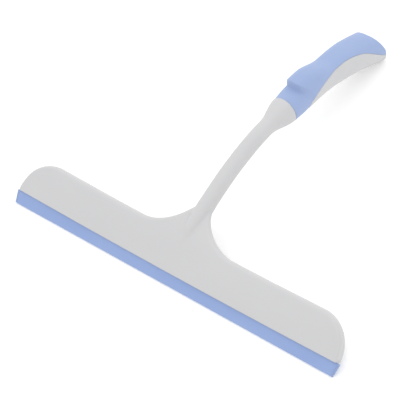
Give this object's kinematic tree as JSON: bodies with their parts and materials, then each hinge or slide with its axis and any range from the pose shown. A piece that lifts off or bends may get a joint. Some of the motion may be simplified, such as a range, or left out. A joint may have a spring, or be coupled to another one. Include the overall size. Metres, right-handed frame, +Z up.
{
  "type": "window cleaning squeegee",
  "caption": "Hand squeegee for windows and showers: wide head with a flexible rubber blade, slim bowed neck and a soft grip with a thumb rest.",
  "frame": {"origin": "centre of the overall box in X and Y, on the table on which the tool lies", "axes": "+X along the blade, +Y from the blade towards the end of the handle, +Z up from the table, out of the tool's front face"},
  "size_m": [0.2992, 0.2478, 0.0522],
  "materials": {
    "grey_plastic": "satin, finely textured light grey moulding",
    "screw_steel": "plain stainless steel",
    "blade_rubber": "smooth satin blue rubber",
    "grip_rubber": "soft matte light blue rubber"
  },
  "bodies": {
    "squeegee": {"head_body": "grey_plastic", "rear_cover": "grey_plastic", "cover_screw_1": "screw_steel", "cover_screw_2": "screw_steel", "cover_screw_3": "screw_steel", "cover_screw_4": "screw_steel", "blade_root": "blade_rubber", "handle_core": "grey_plastic", "grip_cover": "grip_rubber"},
    "blade_lip": {"blade_lip": "blade_rubber"}
  },
  "joints": [
    {"name": "lip_flex", "type": "hinge", "parent": "squeegee", "child": "blade_lip", "pos_m": [0, -0.11798, 0.00484], "axis": [1, 0, 0], "range_deg": [-25, 25], "stiffness_Nm_per_rad": 0.25}
  ]
}
